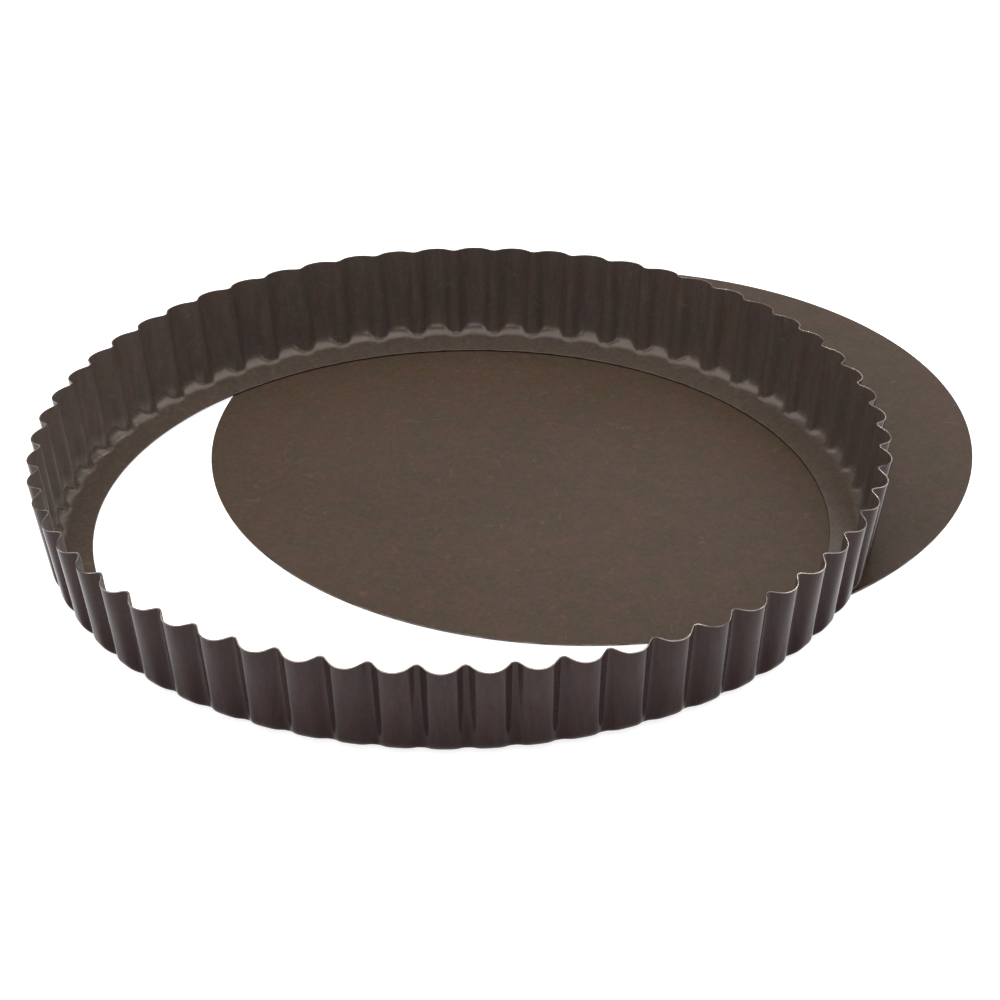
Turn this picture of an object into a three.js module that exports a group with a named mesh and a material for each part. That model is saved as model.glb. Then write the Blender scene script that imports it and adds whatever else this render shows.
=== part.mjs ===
// Fluted tart pan with a loose base.
// A ring of pressed sheet, with a flared wall of flutes and a narrow inward ledge, stands on its
// flat round base, which has been pushed sideways from under it.
// Millimetres, +Z up, origin on the ring's axis at the underside of the base.

import * as THREE from 'three';

// Ring
const RIM_DIAMETER = 280; // over the outside of the lobes
const WALL_HEIGHT = 32.1; // underside of the ledge to the rim at the lobes
const WALL_FLARE = 10.4; // from the end of the flat ledge out to the rim, at the lobes
const SHEET_THICKNESS = 0.5;
const LEDGE_WIDTH = 8.7; // flat part of the ledge
const RING_TURN = 0.88; // degrees about the axis, as the ring was set down

// Flutes of the ring's wall
const FLUTE_COUNT = 60;
const FLUTE_DEPTH = 3.85; // at the rim, from a lobe in to a fold
const FLANK_ANGLE = 47; // degrees in plan, of the straight flank between a lobe and a fold
const FOLD_RADIUS = 1.5; // outside face of the inward fold between two lobes
const FOLD_RISE = 0.9; // the rim stands this much higher at a fold than at a lobe
const LOBE_BEND_RADIUS = 5.4; // inside bend from the ledge into a lobe, a shallow scoop
const FOLD_BEND_RADIUS = 2.4; // inside bend from the ledge into a fold

// Base
const BASE_THICKNESS = 0.7;
const BASE_EDGE_ROUND = 0.2; // eased edge of the stamped disc
const SLIDE_OUT = 70.55; // sideways, from under the ring's axis

// Fits
const SEAT_CLEARANCE = 1.8; // between the base and the folds when it sits on the ledge
const REST_GAP = 0.2; // between the ledge and the base it stands on

// Facets
const LOBE_STEPS = 2; // over half a lobe
const FOLD_STEPS = 1; // over half a fold
const BEND_STEPS = 3;
const BASE_STEPS = 180;

const footRadius = RIM_DIAMETER / 2 - WALL_FLARE;
const openingRadius = footRadius - LEDGE_WIDTH;
const baseRadius = footRadius + FOLD_BEND_RADIUS - SEAT_CLEARANCE;
const ringUnderside = BASE_THICKNESS + REST_GAP;

// A point on an arc.
function onArc(centre, radius, turn) {
  return new THREE.Vector2(Math.cos(turn), Math.sin(turn)).multiplyScalar(radius).add(centre);
}

// Half a flute as a plan section, from the middle of a lobe (angle 0) to the middle of a fold: the arc
// of the lobe, a straight flank and the reversed arc of the fold, each tangent to the next. The lobe's
// radius follows from the pitch and the depth. `inset` moves the section inward by that much, square
// to itself, which gives the inside face of the sheet.
// Returns points { angle, radius, swell }, where swell is 1 on the lobe and 0 in the fold.
function halfFlute(inset) {
  const halfPitch = Math.PI / FLUTE_COUNT;
  const flank = THREE.MathUtils.degToRad(FLANK_ANGLE);
  const axis = new THREE.Vector2();
  const squareToFlank = onArc(axis, 1, flank);
  const foldCentre = onArc(axis, RIM_DIAMETER / 2 - FLUTE_DEPTH + FOLD_RADIUS, halfPitch);
  const reach = foldCentre.dot(squareToFlank) - RIM_DIAMETER / 2 * squareToFlank.x - FOLD_RADIUS;
  const lobeRadius = reach / (1 - squareToFlank.x);
  const lobeCentre = new THREE.Vector2(RIM_DIAMETER / 2 - lobeRadius, 0);

  const points = [];
  for (let i = 0; i <= LOBE_STEPS; i++) {
    points.push(onArc(lobeCentre, lobeRadius - inset, flank * i / LOBE_STEPS));
  }
  for (let i = 0; i <= FOLD_STEPS; i++) {
    const turn = Math.PI + THREE.MathUtils.lerp(flank, halfPitch, i / FOLD_STEPS);
    points.push(onArc(foldCentre, FOLD_RADIUS + inset, turn));
  }
  const inmost = RIM_DIAMETER / 2 - FLUTE_DEPTH - inset;
  return points.map((point) => ({
    angle: point.angle(),
    radius: point.length(),
    swell: (point.length() - inmost) / FLUTE_DEPTH,
  }));
}

// The same section all the way round, as a list of { angle, radius, swell }.
function fluteSection(inset) {
  const half = halfFlute(inset);
  const mirrored = half.slice(1, -1).reverse().map((point) => ({ ...point, angle: -point.angle }));
  const flute = [...mirrored, ...half];
  const section = [];
  for (let k = 0; k < FLUTE_COUNT; k++) {
    const turn = 2 * Math.PI * k / FLUTE_COUNT;
    section.push(...flute.map((point) => ({ ...point, angle: point.angle + turn })));
  }
  return section;
}

// One upright profile of the wall, from the end of the flat ledge round the bend and up to the rim,
// as points { r, z }. The bend is wide under a lobe, which ends in a scoop, and tight under a fold,
// and the wall runs straight from it to the rim.
function wallProfile(point, inset) {
  const scoop = THREE.MathUtils.smoothstep(point.swell, 0, 1);
  const insideBend = THREE.MathUtils.lerp(FOLD_BEND_RADIUS, LOBE_BEND_RADIUS, scoop);
  const centreHeight = insideBend + SHEET_THICKNESS;
  const bend = centreHeight - inset;
  const rim = new THREE.Vector2(point.radius, WALL_HEIGHT + FOLD_RISE * (1 - point.swell));
  const toRim = rim.clone().sub(new THREE.Vector2(footRadius, centreHeight));
  const lean = Math.acos(bend / toRim.length()) - toRim.angle();

  const profile = [];
  for (let i = 0; i <= BEND_STEPS; i++) {
    const turn = THREE.MathUtils.lerp(-Math.PI / 2, -lean, i / BEND_STEPS);
    profile.push({ r: footRadius + bend * Math.cos(turn), z: centreHeight + bend * Math.sin(turn) });
  }
  profile.push({ r: rim.x, z: rim.y });
  return profile;
}

// Ring: the outside face of the sheet from the ledge's opening to the rim, then the inside face back.
function ringGeometry() {
  const outside = fluteSection(0);
  const inside = fluteSection(SHEET_THICKNESS);
  const loops = outside.map((outPoint, i) => {
    const inPoint = inside[i];
    const under = [{ r: openingRadius, z: 0 }, ...wallProfile(outPoint, 0)];
    const over = [{ r: openingRadius, z: SHEET_THICKNESS }, ...wallProfile(inPoint, SHEET_THICKNESS)];
    const place = (angle) => ({ r, z }) => [r * Math.cos(angle), r * Math.sin(angle), z];
    return [...under.map(place(outPoint.angle)), ...over.reverse().map(place(inPoint.angle))];
  });

  const loopSize = loops[0].length;
  const triangles = [];
  for (let i = 0; i < loops.length; i++) {
    const here = i * loopSize;
    const there = ((i + 1) % loops.length) * loopSize;
    for (let j = 0; j < loopSize; j++) {
      const next = (j + 1) % loopSize;
      triangles.push(here + j, there + j, there + next);
      triangles.push(here + j, there + next, here + next);
    }
  }
  const geometry = new THREE.BufferGeometry();
  geometry.setAttribute('position', new THREE.Float32BufferAttribute(loops.flat(2), 3));
  geometry.setIndex(triangles);
  geometry.computeVertexNormals();
  return geometry;
}

// Base: a flat disc with eased edges, turned about its own axis.
function baseGeometry() {
  const profile = [
    new THREE.Vector2(0, 0),
    new THREE.Vector2(baseRadius - BASE_EDGE_ROUND, 0),
    new THREE.Vector2(baseRadius, BASE_EDGE_ROUND),
    new THREE.Vector2(baseRadius, BASE_THICKNESS - BASE_EDGE_ROUND),
    new THREE.Vector2(baseRadius - BASE_EDGE_ROUND, BASE_THICKNESS),
    new THREE.Vector2(0, BASE_THICKNESS),
  ];
  return new THREE.LatheGeometry(profile, BASE_STEPS).rotateX(Math.PI / 2);
}

const ringCoating = new THREE.MeshStandardMaterial({ color: 0x463b39, roughness: 0.42 });
const baseCoating = new THREE.MeshStandardMaterial({ color: 0x54493e, roughness: 0.6 });

const ring = new THREE.Mesh(ringGeometry(), ringCoating);
ring.name = 'fluted_ring';
ring.position.z = ringUnderside;
ring.rotation.z = THREE.MathUtils.degToRad(RING_TURN);

const base = new THREE.Mesh(baseGeometry(), baseCoating);
base.name = 'loose_base';
base.position.x = SLIDE_OUT;

const pan = new THREE.Group();
pan.add(ring, base);

export default pan;
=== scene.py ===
"""Fluted tart pan with a loose base: its finish, the light and the camera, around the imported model."""

import math

import bpy
import numpy as np
from mathutils import Matrix


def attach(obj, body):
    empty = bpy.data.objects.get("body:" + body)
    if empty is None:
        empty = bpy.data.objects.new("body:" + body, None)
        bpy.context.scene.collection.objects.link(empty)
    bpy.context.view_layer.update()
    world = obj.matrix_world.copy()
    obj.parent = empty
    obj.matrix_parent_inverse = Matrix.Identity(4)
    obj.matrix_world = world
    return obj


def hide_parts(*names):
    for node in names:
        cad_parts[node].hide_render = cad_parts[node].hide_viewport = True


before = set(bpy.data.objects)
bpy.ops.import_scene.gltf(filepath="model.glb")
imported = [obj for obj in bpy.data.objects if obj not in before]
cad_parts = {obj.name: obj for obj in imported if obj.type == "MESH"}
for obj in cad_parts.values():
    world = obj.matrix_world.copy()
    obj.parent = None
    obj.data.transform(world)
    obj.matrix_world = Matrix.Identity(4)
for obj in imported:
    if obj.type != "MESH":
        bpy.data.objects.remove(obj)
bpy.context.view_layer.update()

MM = 0.001

# Ring, in millimetres, as in the solid
RIM_RADIUS = 140.0
WALL_HEIGHT = 32.1
FOOT_RADIUS = 129.6
OPENING_RADIUS = 120.9
SHEET = 0.5
RING_TURN = math.radians(0.88)
RING_UNDERSIDE = 0.9
FLUTES = 60
FLUTE_DEPTH = 3.85
FLANK_ANGLE = math.radians(47)
FOLD_RADIUS = 1.5
FOLD_RISE = 0.9
LOBE_BEND = 5.4
FOLD_BEND = 2.4

# Base, in millimetres, as in the solid
BASE_RADIUS = 130.2
BASE_THICKNESS = 0.7
BASE_OUT = 70.55
BASE_EASE = 0.2

# Detail that the solids lack, in millimetres
EDGE_EASE = 0.15  # worn corners of the ring's cut edges
BESIDE = 0.35  # from an eased edge or a bend to the loop on the flat beside it
EASE_MIDDLE = 0.3  # the middle of a worn corner, as a share of EDGE_EASE along both sides
EASE_POINTS = 3  # that a worn corner adds to its loop

# Facets
LOBE_STEPS = 7
FLANK_STEPS = 2
FOLD_STEPS = 4
BEND_STEPS = 7
WALL_STEPS = 8
BASE_STEPS = 288
BASE_RINGS = 24
BASE_EASE_STEPS = 3

# Texture sheets, which are 1 wide and high. The ring is cut into sectors, each in its own square.
RING_SQUARES = 3  # along each side of the sheet
RING_MARGIN = 0.004  # inside each square
# The base has two round faces, given by centre and radius, and a strip for the edge.
TOP_CENTRE = 0.32
TOP_RADIUS = 0.31
UNDERSIDE_CENTRE = 0.82
UNDERSIDE_RADIUS = 0.17
EDGE_LEFT = 0.01
EDGE_LENGTH = 0.6
EDGE_BOTTOM = 0.66
EDGE_HEIGHT = 0.02

# Places of the materials in the two meshes
INSIDE, OUTSIDE, RIM, CUT_EDGE = range(4)
FACE, DISC_EDGE = range(2)

# Patterns in the finishes, as noise scales, in repeats to the metre
DRIFT_SCALE = 13
MOTTLE_SCALE = 105
STAIN_SCALE = 160
DRAWN_SCALE = 520
GRAIN_SCALE = 700
SPECK_SCALE = 330
TARNISH_SCALE = 140
SHEAR_SCALE = 2600
FLOOR_SCALE = 3
HAIRS = ((85, 0.0), (120, 3.7))  # scale and shift of each set of hair lines
HAIR_PATCHES = 2.6  # scale of the patches that hair lines show in, beside that of the lines
UPRIGHT = (1.0, 1.0, 0.05)  # draws a pattern out along the ring's axis

# Ranges of a pattern's value over which one finish passes into another
USUAL = (0.3, 0.7)
PATCHES = (0.36, 0.64)
TARNISHED = (0.35, 0.65)
HAIR_LINE = (0.006, 0.022)  # off the level that the line follows
HAIR_SHOWN = (0.60, 0.68)
SPECK_SHOWN = (0.86, 0.88)
SPECK_EDGE = (0.035, 0.07)

# Heights on the ring over which they do so, in metres
LEDGE_TOP = (0.0015, 0.0025)
BENDS_TOP = (0.005, 0.009)
# painted shade: over these heights the outside wall darkens towards the floor
FOOT_PAINTED_SHADE = (0.002, 0.020)
# and over these its shine drops, along with that painted shade
FOOT_DULL = (0.004, 0.024)

# Strengths in the finishes
DRIFT_SHADE = (0.91, 1.05)
MOTTLE_SHADE = 0.05
MOTTLE_ROUGH = 0.04
HAIR_SHADE = 0.6  # beside a speck
WORN_ROUGH = -0.05
TARNISH_ROUGH = 0.1
BARE_SMOOTH = 0.05
WORN_RELIEF = 0.4  # beside the grain
RELIEF_DEPTH = 0.00003
RELIEF_STRENGTH = 0.5
SATIN = 0.42  # shine of the wall and the ledge, beside the bends between them
FOOT_SHINE = 0.15  # shine of the wall's foot, beside its top
YELLOWER = (1.0, 1.0, 0.91, 1.0)
BLUER = (1.0, 1.0, 1.09, 1.0)


def on_arc(centre, radius, turn):
    return centre + radius * np.stack([np.cos(turn), np.sin(turn)], -1)


def flute_section(inset):
    """The plan section of all the flutes: angle, radius, and swell, which is 1 on a lobe and 0 in a fold.

    inset moves the section inward, square to itself, which gives the inside face of the sheet.
    """
    half_pitch = math.pi / FLUTES
    axis = np.zeros(2)
    square_to_flank = on_arc(axis, 1.0, FLANK_ANGLE)
    fold_centre = on_arc(axis, RIM_RADIUS - FLUTE_DEPTH + FOLD_RADIUS, half_pitch)
    reach = fold_centre @ square_to_flank - RIM_RADIUS * square_to_flank[0] - FOLD_RADIUS
    lobe_radius = reach / (1 - square_to_flank[0])
    lobe_centre = np.array([RIM_RADIUS - lobe_radius, 0.0])

    lobe_turns = np.linspace(0, FLANK_ANGLE, LOBE_STEPS + 1)
    fold_turns = math.pi + np.linspace(FLANK_ANGLE, half_pitch, FOLD_STEPS + 1)
    lobe = on_arc(lobe_centre, lobe_radius - inset, lobe_turns)
    fold = on_arc(fold_centre, FOLD_RADIUS + inset, fold_turns)
    along = np.linspace(0, 1, FLANK_STEPS + 1)[1:-1, None]
    half = np.concatenate([lobe, lobe[-1] + along * (fold[0] - lobe[-1]), fold])
    angle = np.arctan2(half[:, 1], half[:, 0])
    radius = np.hypot(half[:, 0], half[:, 1])

    # the mirrored half leaves out the middles of the lobe and the fold, which are there already
    angle = np.concatenate([-angle[-2:0:-1], angle])
    radius = np.concatenate([radius[-2:0:-1], radius])
    swell = np.clip((radius - RIM_RADIUS + inset + FLUTE_DEPTH) / FLUTE_DEPTH, 0, 1)
    turns = 2 * math.pi * np.arange(FLUTES) / FLUTES
    return (turns[:, None] + angle).ravel(), np.tile(radius, FLUTES), np.tile(swell, FLUTES)


def wall_profile(radius, swell, inset):
    """Upright profiles of the wall, from the end of the ledge round the bend and up to the rim.

    Returns r and z, with a row for each place round the ring. The bend is wide under a lobe, which ends in
    a scoop, and tight under a fold.
    """
    scoop = swell * swell * (3 - 2 * swell)
    centre_height = FOLD_BEND + (LOBE_BEND - FOLD_BEND) * scoop + SHEET
    bend = centre_height - inset
    rim_height = WALL_HEIGHT + FOLD_RISE * (1 - swell)
    to_rim = np.stack([radius - FOOT_RADIUS, rim_height - centre_height])
    lean = np.arccos(bend / np.hypot(*to_rim)) - np.arctan2(to_rim[1], to_rim[0])

    share = np.linspace(0, 1, BEND_STEPS + 1)
    turn = -math.pi / 2 + share * (math.pi / 2 - lean)[:, None]
    r = FOOT_RADIUS + bend[:, None] * np.cos(turn)
    z = centre_height[:, None] + bend[:, None] * np.sin(turn)
    up = np.linspace(0, 1, WALL_STEPS + 1)[1:]
    r = np.concatenate([r, r[:, -1:] + up * (radius - r[:, -1])[:, None]], 1)
    z = np.concatenate([z, z[:, -1:] + up * (rim_height - z[:, -1])[:, None]], 1)
    return r, z


def ease(points, corner, sheet_side):
    """Cuts the corner at that place of each closed loop of points, EDGE_EASE back along both sides.

    A further point lies beside it on the face of the sheet, which is before (-1) or after (1) the corner.
    """
    here = points[:, corner]
    back = points[:, corner - 1] - here
    on = points[:, (corner + 1) % points.shape[1]] - here
    back /= np.linalg.norm(back, axis=1, keepdims=True)
    on /= np.linalg.norm(on, axis=1, keepdims=True)
    middle = here + EASE_MIDDLE * EDGE_EASE * (back + on)
    cut = [here + EDGE_EASE * back, middle, here + EDGE_EASE * on]
    if sheet_side < 0:
        cut.insert(0, here + BESIDE * back)
    else:
        cut.append(here + BESIDE * on)
    return np.concatenate([points[:, :corner], np.stack(cut, 1), points[:, corner + 1:]], 1)


def ring_loops():
    """Closed loops of points round the sheet, in metres, one for each place round the ring.

    A loop starts on the underside at the ledge's edge, and goes up outside and down inside. Also returns
    how many points each of these two faces has without the worn corners.
    """
    ledge = [OPENING_RADIUS, (OPENING_RADIUS + FOOT_RADIUS) / 2, FOOT_RADIUS - BESIDE]
    faces = []
    for inset in (0.0, SHEET):
        angle, radius, swell = flute_section(inset)
        r, z = wall_profile(radius, swell, inset)
        r = np.concatenate([np.broadcast_to(ledge, (len(r), len(ledge))), r], 1)
        z = np.concatenate([np.full((len(z), len(ledge)), z[:, 0].min()), z], 1)
        turn = (angle + RING_TURN)[:, None]
        faces.append(np.stack([r * np.cos(turn), r * np.sin(turn), z + RING_UNDERSIDE], -1))
    side = faces[0].shape[1]
    points = np.concatenate([faces[0], faces[1][:, ::-1]], 1)
    # the last corner first, so that the places of the others still hold
    for corner, sheet_side in ((2 * side - 1, -1), (side, 1), (side - 1, -1), (0, 1)):
        points = ease(points, corner, sheet_side)
    return points * MM, side


def ring_finish(size, side):
    """The material of each strip of the sheet, along a loop of that size."""
    rim = side + EASE_POINTS
    strips = np.full(size, INSIDE)
    strips[:rim] = OUTSIDE
    strips[rim:rim + EASE_POINTS] = RIM
    strips[-2:] = CUT_EDGE
    return strips


def ring_sheet(points):
    """The places of each face's corners on the texture sheet, with each sector laid out flat."""
    rows, size = points.shape[:2]
    length = rows / RING_SQUARES ** 2
    around = np.arange(rows)
    sector = np.minimum(around // length, RING_SQUARES ** 2 - 1)
    left = (around - sector * length) / length
    right = left + 1 / length
    gaps = np.linalg.norm(np.roll(points, -1, 1) - points, axis=2).mean(0)
    down = np.concatenate([[0], np.cumsum(gaps)]) / gaps.sum()
    low, high = down[:-1], down[1:]

    u = np.broadcast_to(np.stack([left, right, right, left], -1)[:, None], (rows, size, 4))
    v = np.broadcast_to(np.stack([low, low, high, high], -1), (rows, size, 4))
    inner = 1 - 2 * RING_MARGIN
    u = ((sector % RING_SQUARES)[:, None, None] + RING_MARGIN + inner * u) / RING_SQUARES
    v = ((sector // RING_SQUARES)[:, None, None] + RING_MARGIN + inner * v) / RING_SQUARES
    return np.stack([u, v], -1)


def mesh_object(name, points, faces, materials, finish, sheet):
    """A smooth mesh, with a material for each face and a place on the texture sheet for its corners."""
    mesh = bpy.data.meshes.new(name)
    mesh.from_pydata(points, [], faces)
    for material in materials:
        mesh.materials.append(material)
    mesh.polygons.foreach_set("material_index", np.asarray(finish, np.int32))
    mesh.polygons.foreach_set("use_smooth", np.ones(len(faces), bool))
    layer = mesh.uv_layers.new(name="OFBake")
    layer.data.foreach_set("uv", np.asarray(sheet, np.float32).ravel())
    mesh.validate()
    mesh.update()
    obj = bpy.data.objects.new(name, mesh)
    bpy.context.scene.collection.objects.link(obj)
    return obj


def ring_object(materials):
    """The ring: closed loops round the sheet, each joined to the next loop round the axis."""
    points, side = ring_loops()
    rows, size = points.shape[:2]
    i, j = np.meshgrid(np.arange(rows), np.arange(size), indexing="ij")
    here = i * size
    there = (i + 1) % rows * size
    on = (j + 1) % size
    quads = np.stack([here + j, there + j, there + on, here + on], -1).reshape(-1, 4)
    finish = np.tile(ring_finish(size, side), rows)
    places = points.reshape(-1, 3).tolist()
    return mesh_object("fluted_ring_shell", places, quads.tolist(), materials, finish, ring_sheet(points))


def base_rings():
    """Radius and height of the base's rings of points, from the middle of its top over the edge to below.

    Also returns the first and the last ring of the edge.
    """
    flat = BASE_RADIUS - BASE_EASE
    spread = [flat * k / BASE_RINGS for k in range(1, BASE_RINGS)] + [flat - BESIDE, flat]
    upper = []
    for k in range(1, BASE_EASE_STEPS + 1):
        turn = math.pi / 2 * k / BASE_EASE_STEPS
        upper.append((flat + BASE_EASE * math.sin(turn), BASE_THICKNESS - BASE_EASE * (1 - math.cos(turn))))
    lower = [(r, BASE_THICKNESS - z) for r, z in reversed(upper)]
    top = [(r, BASE_THICKNESS) for r in spread]
    underside = [(r, 0.0) for r in reversed(spread)]
    first = len(top) - 1
    last = first + len(upper) + len(lower) + 1
    return top + upper + lower + underside, first, last


def base_object(materials):
    """The base: a disc of many rings, with eased edges."""
    rings, edge_first, edge_last = base_rings()
    inmost = len(rings) - 1
    angles = 2 * math.pi * np.arange(BASE_STEPS) / BASE_STEPS
    points = [(BASE_OUT, 0.0, BASE_THICKNESS)]
    for r, z in rings:
        points += [(BASE_OUT + r * c, r * s, z) for c, s in zip(np.cos(angles), np.sin(angles))]
    points.append((BASE_OUT, 0.0, 0.0))
    bottom = len(points) - 1

    def on_disc(centre, radius, ring, step):
        share = radius * rings[ring][0] / BASE_RADIUS
        angle = 2 * math.pi * step / BASE_STEPS
        return centre + share * math.cos(angle), centre + share * math.sin(angle)

    def on_sheet(strip, ring, step):
        """The place of a point on the texture sheet, for a face in that strip of the disc."""
        if strip < edge_first:
            return on_disc(TOP_CENTRE, TOP_RADIUS, ring, step)
        if strip >= edge_last:
            return on_disc(UNDERSIDE_CENTRE, UNDERSIDE_RADIUS, ring, step)
        up = EDGE_HEIGHT * (ring - edge_first) / (edge_last - edge_first)
        return EDGE_LEFT + EDGE_LENGTH * step / BASE_STEPS, EDGE_BOTTOM + up

    faces, finish, sheet = [], [], []
    for step in range(BASE_STEPS):
        on = (step + 1) % BASE_STEPS
        faces.append((0, 1 + step, 1 + on))
        finish.append(FACE)
        sheet += [(TOP_CENTRE, TOP_CENTRE), on_sheet(0, 0, step), on_sheet(0, 0, step + 1)]
        for k in range(inmost):
            a = 1 + k * BASE_STEPS
            b = a + BASE_STEPS
            faces.append((a + step, b + step, b + on, a + on))
            finish.append(DISC_EDGE if edge_first < k < edge_last - 1 else FACE)
            sheet += [on_sheet(k, k, step), on_sheet(k, k + 1, step)]
            sheet += [on_sheet(k, k + 1, step + 1), on_sheet(k, k, step + 1)]
        a = 1 + inmost * BASE_STEPS
        faces.append((a + step, bottom, a + on))
        finish.append(FACE)
        sheet += [on_sheet(inmost, inmost, step), (UNDERSIDE_CENTRE, UNDERSIDE_CENTRE)]
        sheet.append(on_sheet(inmost, inmost, step + 1))
    places = (MM * np.array(points)).tolist()
    return mesh_object("loose_base_disc", places, faces, materials, finish, sheet)


class Nodes:
    """A material's node tree, with short calls for the nodes that the finishes share."""

    def __init__(self, name):
        self.material = bpy.data.materials.new(name)
        self.material.use_nodes = True
        self.tree = self.material.node_tree
        self.shader = self.tree.nodes["Principled BSDF"]
        self.place = self.tree.nodes.new("ShaderNodeTexCoord").outputs["Object"]

    def put(self, socket, value):
        """Sets a number or colour on a socket, or links an outlet to it."""
        if isinstance(value, bpy.types.NodeSocket):
            self.tree.links.new(value, socket)
        else:
            socket.default_value = value

    def put_all(self, node, inputs):
        """The same for a node's inputs by name, with _ for a blank."""
        for key, value in inputs.items():
            self.put(node.inputs[key.replace("_", " ")], value)

    def add(self, kind, outlet, **inputs):
        node = self.tree.nodes.new(kind)
        self.put_all(node, inputs)
        return node.outputs[outlet]

    def noise(self, scale, detail=2, rough=0.5, **mapping):
        place = self.place
        if mapping:
            place = self.add("ShaderNodeMapping", "Vector", Vector=place, **mapping)
        return self.add("ShaderNodeTexNoise", "Fac", Vector=place, Scale=scale, Detail=detail,
                        Roughness=rough)

    def span(self, value, limits, to_low=0.0, to_high=1.0):
        return self.add("ShaderNodeMapRange", "Result", Value=value, From_Min=limits[0], From_Max=limits[1],
                        To_Min=to_low, To_Max=to_high)

    def math(self, operation, a, b=0.0):
        node = self.tree.nodes.new("ShaderNodeMath")
        node.operation = operation
        self.put(node.inputs[0], a)
        self.put(node.inputs[1], b)
        return node.outputs[0]

    def sum(self, a, b):
        return self.math("ADD", a, b)

    def product(self, a, b):
        return self.math("MULTIPLY", a, b)

    def mix(self, share, a, b, blend="MIX"):
        node = self.tree.nodes.new("ShaderNodeMix")
        node.data_type = "RGBA"
        node.blend_type = blend
        self.put(node.inputs["Factor"], share)
        # the colour sockets share their names with others, so they go by place
        self.put(node.inputs[6], a)
        self.put(node.inputs[7], b)
        return node.outputs[2]

    def scaled(self, tone, factor):
        node = self.tree.nodes.new("ShaderNodeVectorMath")
        node.operation = "SCALE"
        self.put_all(node, {"Vector": tone, "Scale": factor})
        return node.outputs["Vector"]

    def hair(self, scale, shift):
        """Short curved hair lines: level lines of a smooth noise, shown only in small patches."""
        place = (shift, shift, shift)
        level = self.noise(scale, detail=0, Location=place)
        patch = self.noise(HAIR_PATCHES * scale, detail=1, Location=place)
        off_level = self.math("ABSOLUTE", self.math("SUBTRACT", level, 0.5))
        return self.product(self.span(off_level, HAIR_LINE, 1.0, 0.0), self.span(patch, HAIR_SHOWN))

    def specks(self, flat):
        """Small pale dots in a few of the cells."""
        node = self.tree.nodes.new("ShaderNodeTexVoronoi")
        node.voronoi_dimensions = "2D" if flat else "3D"
        self.put_all(node, {"Vector": self.place, "Scale": SPECK_SCALE})
        pick = self.add("ShaderNodeSeparateColor", "Red", Color=node.outputs["Color"])
        dot = self.span(node.outputs["Distance"], SPECK_EDGE, 1.0, 0.0)
        return self.product(dot, self.span(pick, SPECK_SHOWN))

    def worn(self, marks, flat):
        """Hair lines and specks, as strong as marks says."""
        hairs = self.math("MAXIMUM", *[self.hair(scale, shift) for scale, shift in HAIRS])
        return self.product(self.math("MAXIMUM", self.product(hairs, HAIR_SHADE), self.specks(flat)), marks)

    def relief(self, height):
        return self.add("ShaderNodeBump", "Normal", Height=height, Distance=RELIEF_DEPTH,
                        Strength=RELIEF_STRENGTH)

    def finish(self, **inputs):
        self.put_all(self.shader, inputs)
        return self.material


def colour(red, green, blue):
    return (red, green, blue, 1.0)


def coating(name, warm, cool, tint, rough, specular, speckle=0.12, marks=0.0, flat=False, streak=0.0,
            ledge=None, wall_rough=0.0, painted_foot_shade=0.0):
    """A baked non-stick coating: mottled between a warm and a cool tone, with fine grain.

    speckle is the strength of the grain, marks that of hair scratches and pale specks, for a flat face or
    a curved one, and streak that of upright lines in a drawn wall. On the ring, ledge is the tone of its
    ledge, wall_rough is what the wall is rougher by than the bends, and foot is the share of its tone that
    the wall keeps at the bottom: painted shade, darker towards the floor, where its shine drops as well.
    """
    n = Nodes(name)
    height = n.add("ShaderNodeSeparateXYZ", "Z", Vector=n.place)
    drift = n.noise(DRIFT_SCALE)
    mottle = n.noise(MOTTLE_SCALE, detail=4, rough=0.6)
    stain = n.noise(STAIN_SCALE, detail=4, rough=0.6)
    grain = n.noise(GRAIN_SCALE, detail=3, rough=0.7)

    base = n.mix(n.span(mottle, PATCHES), warm, cool)
    if ledge:
        base = n.mix(n.span(height, LEDGE_TOP, 1.0, 0.0), base, ledge)
    hue = n.mix(n.span(stain, PATCHES), YELLOWER, BLUER)
    base = n.mix(1.0, base, hue, "MULTIPLY")
    shade = n.sum(n.span(drift, USUAL, *DRIFT_SHADE), n.span(grain, USUAL, -speckle, speckle))
    shade = n.sum(shade, n.span(mottle, USUAL, -MOTTLE_SHADE, MOTTLE_SHADE))
    roughness = n.span(mottle, USUAL, rough - MOTTLE_ROUGH, rough + MOTTLE_ROUGH)
    relief = grain

    if streak:
        drawn = n.noise(DRAWN_SCALE, detail=3, rough=0.6, Scale=UPRIGHT)
        shade = n.sum(shade, n.span(drawn, USUAL, -streak, streak))
    if painted_foot_shade:
        # painted shade: the outside wall darker towards the floor, its shine lowered there too
        shade = n.product(shade, n.span(height, FOOT_PAINTED_SHADE, painted_foot_shade, 1.0))
        specular = n.span(height, FOOT_DULL, FOOT_SHINE * specular, specular)
    if marks:
        worn = n.worn(marks, flat)
        shade = n.sum(shade, worn)
        roughness = n.sum(roughness, n.product(worn, WORN_ROUGH))
        relief = n.sum(relief, n.product(worn, WORN_RELIEF))
    if wall_rough:
        roughness = n.sum(roughness, n.span(height, BENDS_TOP, 0.0, wall_rough))
        satin = n.product(n.span(height, BENDS_TOP, 1.0, SATIN), n.span(height, LEDGE_TOP, SATIN, 1.0))
        specular = n.product(satin, specular)
    return n.finish(Base_Color=n.scaled(base, shade), Roughness=roughness, Specular_IOR_Level=specular,
                    Specular_Tint=tint, Normal=n.relief(relief))


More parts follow.
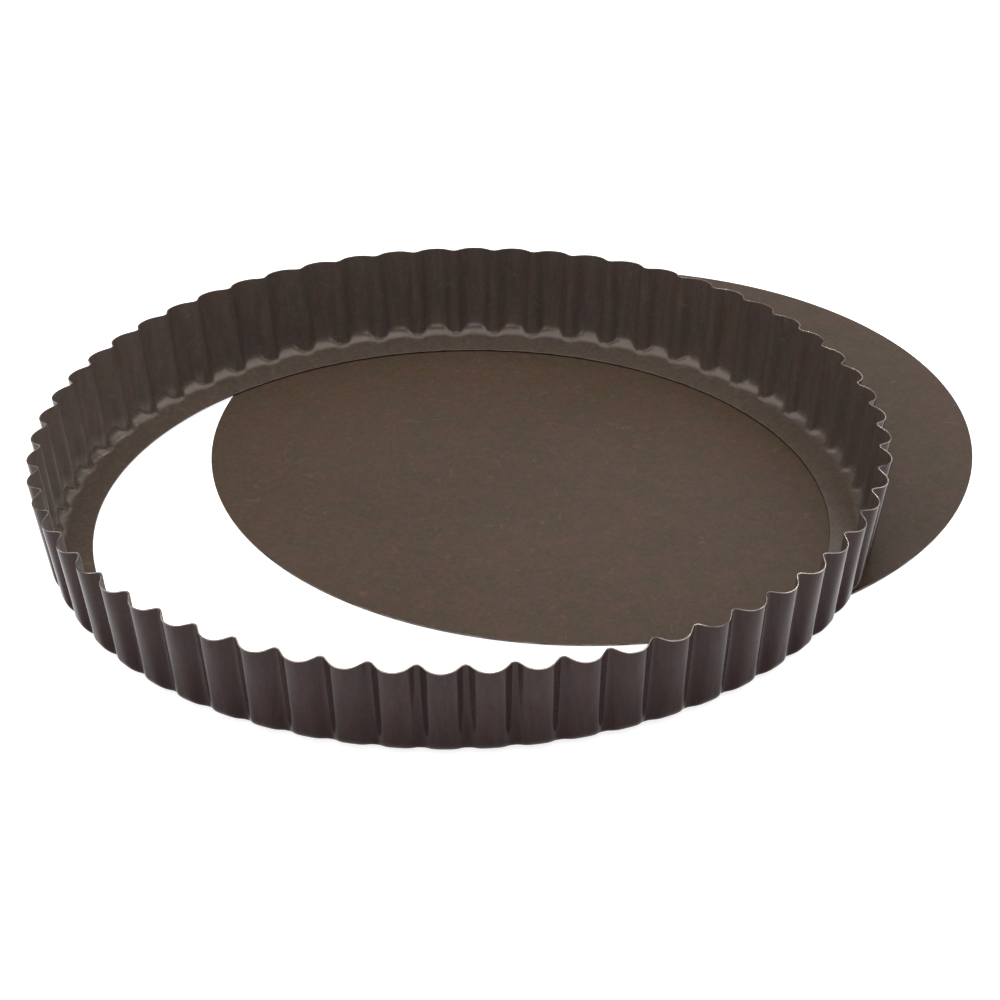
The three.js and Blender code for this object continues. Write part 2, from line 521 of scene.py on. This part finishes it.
def cut_steel(name, dark, light, rough):
    """A sheared edge of bare sheet steel, with patchy tarnish and a fine grain from the shear."""
    n = Nodes(name)
    tarnish = n.noise(TARNISH_SCALE, detail=4, rough=0.6)
    return n.finish(Base_Color=n.mix(n.span(tarnish, TARNISHED), dark, light),
                    Metallic=1.0,
                    Specular_Tint=colour(0.5, 0.45, 0.4),
                    Roughness=n.span(tarnish, USUAL, rough + TARNISH_ROUGH, rough - BARE_SMOOTH),
                    Normal=n.relief(n.noise(SHEAR_SCALE)))


inside_coating = coating(
    "inside_coating",
    warm=colour(0.0725, 0.0470, 0.0405),
    cool=colour(0.0566, 0.0452, 0.0375),
    tint=colour(1.0, 0.87, 0.76),
    rough=0.26,
    specular=0.64,
    marks=0.5,
    streak=0.14,
    ledge=colour(0.0695, 0.0508, 0.0392),
    wall_rough=0.29,
)
outside_coating = coating(
    "outside_coating",
    warm=colour(0.0325, 0.0178, 0.0174),
    cool=colour(0.0262, 0.0176, 0.0174),
    tint=colour(1.0, 0.86, 0.84),
    rough=0.13,
    specular=0.15,
    streak=0.16,
    # painted shade at the foot of the wall, darker towards the floor
    painted_foot_shade=0.95,
)
base_coating = coating(
    "base_coating",
    warm=colour(0.0635, 0.0369, 0.0264),
    cool=colour(0.0503, 0.0366, 0.0225),
    tint=colour(1.0, 0.93, 0.88),
    rough=0.44,
    specular=0.15,
    speckle=0.18,
    marks=0.6,
    flat=True,
)
rim_steel = cut_steel("rim_steel", colour(0.11, 0.094, 0.083), colour(0.56, 0.50, 0.44), rough=0.24)
# cut edges of the ledge and the base: tarnished steel, painted dark as well, as the shade on these edges
# and in the gap under the ledge
edge_steel_and_shade = cut_steel("edge_steel_and_shade", colour(0.05, 0.045, 0.042), colour(0.17, 0.15, 0.135), rough=0.45)

ring = ring_object([inside_coating, outside_coating, rim_steel, edge_steel_and_shade])
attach(ring, "ring")
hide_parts("fluted_ring")

base = base_object([base_coating, edge_steel_and_shade])
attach(base, "base")
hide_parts("loose_base")

# Floor: pale paper just under the base, which glows a little, as a lit table does
FLOOR_REACH = 8.0
FLOOR_HEIGHT = -0.0002
FLOOR_GLOW = 0.80


def floor_object():
    corners = [(-1, -1), (1, -1), (1, 1), (-1, 1)]
    mesh = bpy.data.meshes.new("floor")
    mesh.from_pydata([(FLOOR_REACH * x, FLOOR_REACH * y, FLOOR_HEIGHT) for x, y in corners], [], [range(4)])
    n = Nodes("floor_paper")
    tone = n.mix(n.noise(FLOOR_SCALE), colour(0.69, 0.69, 0.69), colour(0.71, 0.71, 0.71))
    mesh.materials.append(n.finish(Base_Color=tone, Roughness=0.9, Specular_IOR_Level=0.1,
                                   Emission_Color=colour(1.0, 1.0, 1.0), Emission_Strength=FLOOR_GLOW))
    obj = bpy.data.objects.new("floor", mesh)
    bpy.context.scene.collection.objects.link(obj)
    return obj


floor_object()

# Camera, fitted to the rim, the flutes, the ledge and the base
CAMERA_PLACE = (-0.725506, -0.604509, 0.562863)
HEADING = math.radians(39.023)  # from +X towards +Y
PITCH = 0.5304  # downwards
ROLL = -0.0189
FOCAL_LENGTH = 3.33286  # in widths of the picture
SENSOR_WIDTH = 36.0

camera_data = bpy.data.cameras.new("camera")
camera_data.sensor_width = SENSOR_WIDTH
camera_data.lens = FOCAL_LENGTH * SENSOR_WIDTH
camera = bpy.data.objects.new("camera", camera_data)
bpy.context.scene.collection.objects.link(camera)
camera.matrix_world = (Matrix.Translation(CAMERA_PLACE)
                       @ Matrix.Rotation(HEADING - math.pi / 2, 4, "Z")
                       @ Matrix.Rotation(math.pi / 2 - PITCH, 4, "X")
                       @ Matrix.Rotation(ROLL, 4, "Z"))
bpy.context.scene.camera = camera

# Light: a white tent, lit from above, with soft panels high on both sides and weaker ones round the pan.
# Each panel has its turn from the camera's right towards the back, its rise, in degrees, its power, and its
# width and height in metres.
PANEL_DISTANCE = 1.8
PANELS = {
    "high_right_panel": (0, 60, 25.0, 2.4, 2.0),
    "high_left_panel": (180, 60, 22.0, 2.4, 2.0),
    "front_left_panel": (225, 30, 3.0, 1.0, 0.7),
    "front_panel": (272, 25, 3.4, 1.0, 0.7),
    "back_panel": (75, 30, 2.0, 1.0, 0.7),
    "glint_panel": (67, 48, 1.6, 0.25, 0.18),
}
OVERHEAD_PLACE = (-0.1, -0.05, 2.0)  # to the right, away from the camera, and up
OVERHEAD_POWER = 0.4
OVERHEAD_SPREAD = math.radians(84)
TENT_STRENGTH = 0.32

right = np.array([math.sin(HEADING), -math.cos(HEADING), 0.0])
away = np.array([math.cos(HEADING), math.sin(HEADING), 0.0])
up = np.array([0.0, 0.0, 1.0])


def lamp(name, kind, place, power, **settings):
    """A lamp at that place, aimed at the middle of the ring."""
    data = bpy.data.lights.new(name, kind)
    data.energy = power
    for key, value in settings.items():
        setattr(data, key, value)
    obj = bpy.data.objects.new(name, data)
    bpy.context.scene.collection.objects.link(obj)
    x, y, z = place
    spin = Matrix.Rotation(math.atan2(-x, y) + math.pi, 4, "Z")
    tip = Matrix.Rotation(math.atan2(math.hypot(x, y), z), 4, "X")
    obj.matrix_world = Matrix.Translation(place) @ spin @ tip


overhead = np.array(OVERHEAD_PLACE) @ np.stack([right, away, up])
lamp("overhead", "SUN", overhead, OVERHEAD_POWER, angle=OVERHEAD_SPREAD)
for name, (turn, rise, power, width, height) in PANELS.items():
    turn = math.radians(turn)
    rise = math.radians(rise)
    level = math.cos(turn) * right + math.sin(turn) * away
    place = PANEL_DISTANCE * (math.cos(rise) * level + math.sin(rise) * up)
    lamp(name, "AREA", place, power, shape="RECTANGLE", size=width, size_y=height)

world = bpy.data.worlds.new("studio")
world.use_nodes = True
tent = world.node_tree.nodes["Background"]
tent.inputs["Color"].default_value = colour(1.0, 1.0, 1.0)
tent.inputs["Strength"].default_value = TENT_STRENGTH
bpy.context.scene.world = world
bpy.context.scene.view_settings.view_transform = "Standard"
